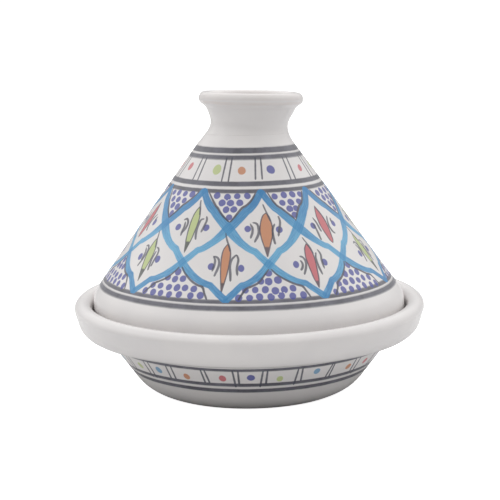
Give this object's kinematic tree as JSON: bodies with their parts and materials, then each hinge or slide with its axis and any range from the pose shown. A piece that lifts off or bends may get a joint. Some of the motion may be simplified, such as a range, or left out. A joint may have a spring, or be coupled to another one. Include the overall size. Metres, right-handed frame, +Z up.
{
  "type": "tagine pot",
  "caption": "Glazed earthenware tagine: a footed dish with a gallery rim under a tall cone lid with a flared knob, hand-painted with a lattice, leaves and dots.",
  "frame": {"origin": "centre of the foot ring, on the surface that the dish stands on", "axes": "+Z up along the axis of the pot; the whole pot is turned on this axis, and -Y faces the viewer"},
  "size_m": [0.26, 0.26, 0.2183],
  "materials": {
    "dish_glaze": "glossy off-white tin glaze, a painted band of dots between dark lines under the collar, bare clay on the foot ring",
    "cone_glaze": "glossy off-white tin glaze, painted all round with a turquoise lattice, coloured leaves, blue dots and dark lines",
    "knob_glaze": "glossy off-white tin glaze, unpainted, with a few iron specks"
  },
  "bodies": {
    "dish": {"dish": "dish_glaze"},
    "lid": {"lid_cone": "cone_glaze", "lid_knob": "knob_glaze"}
  },
  "joints": [
    {"name": "lid_lift", "type": "slide", "parent": "dish", "child": "lid", "axis": [0, 0, 1], "range_m": [0, 0.15]}
  ]
}
